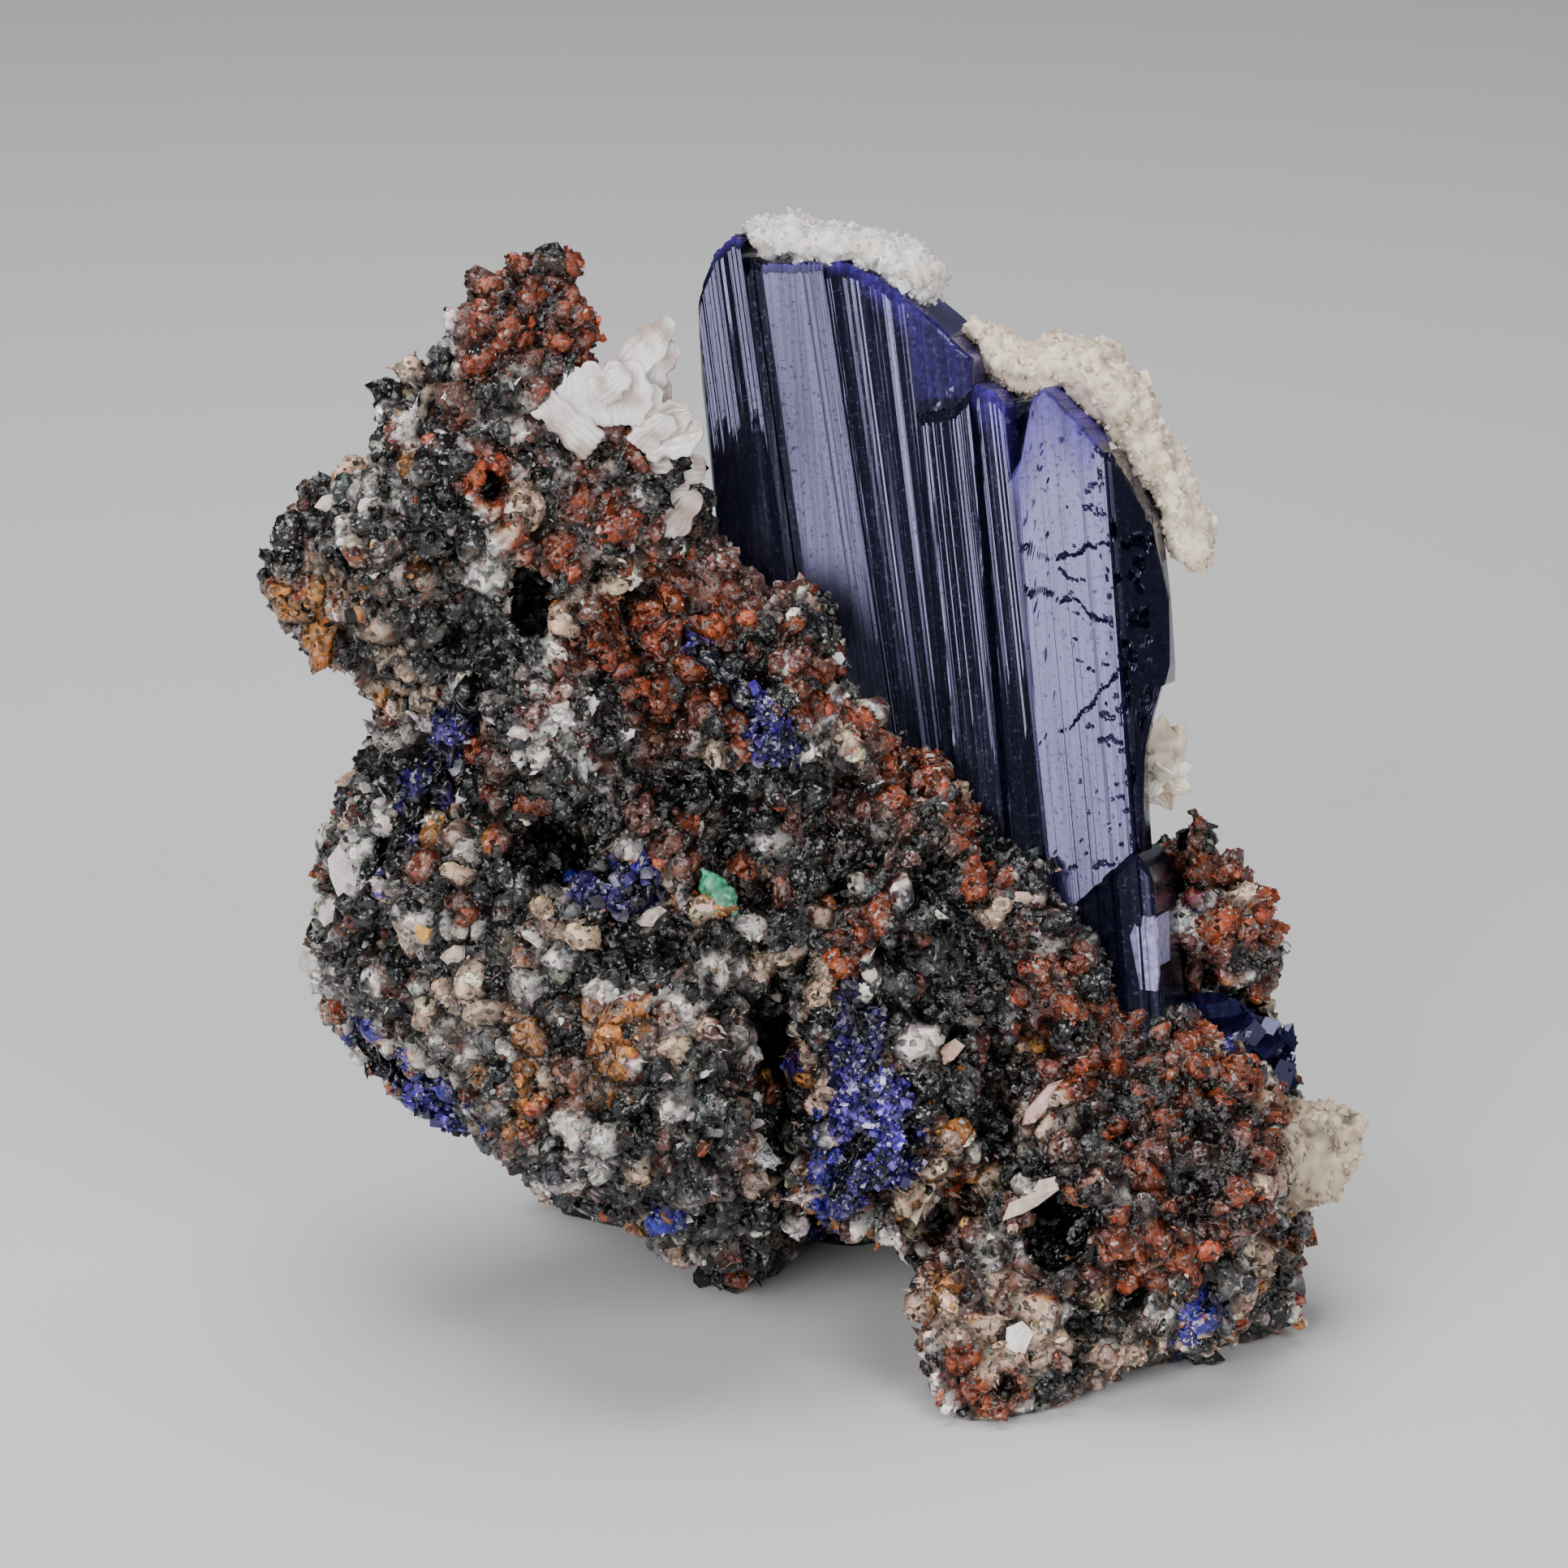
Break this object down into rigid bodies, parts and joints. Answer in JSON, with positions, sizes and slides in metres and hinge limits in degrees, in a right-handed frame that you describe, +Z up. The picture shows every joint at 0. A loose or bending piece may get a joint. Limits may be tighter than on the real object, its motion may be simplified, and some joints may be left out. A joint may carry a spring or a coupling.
{
  "type": "azurite mineral specimen",
  "caption": "Free-standing mineral specimen: tall striated azurite crystals in an iron-stained ore matrix with calcite crusts, resting on flat-cut feet.",
  "frame": {"origin": "under the middle of the specimen, on the surface it stands on", "axes": "+Z up along the crystals, front towards -Y, +X to the right of the front view"},
  "size_m": [0.0724, 0.0444, 0.0744],
  "materials": {
    "ore_matrix": "granular iron-stained ore, dark grey with rust, ochre, cream and pale sparkling grains",
    "azurite": "very deep blue to near black, glassy crystal faces with fine lengthwise striations",
    "azurite_druse": "bright ultramarine, finely crystalline",
    "calcite": "white to cream, sugary crusts and pearly blades",
    "malachite": "matt green"
  },
  "bodies": {
    "root": {"matrix": "ore_matrix", "azurite_crystals": "azurite", "azurite_right_cluster": "azurite", "calcite_top_crust": "calcite", "calcite_side_crust": "calcite", "calcite_peak_plates": "calcite", "calcite_rosette": "calcite", "calcite_knob": "calcite", "azurite_front_druse": "azurite_druse", "azurite_ridge_vein": "azurite_druse", "azurite_left_vein": "azurite_druse", "azurite_lower_vein": "azurite_druse", "azurite_pocket_druse": "azurite_druse", "malachite_patch": "malachite"}
  },
  "joints": []
}
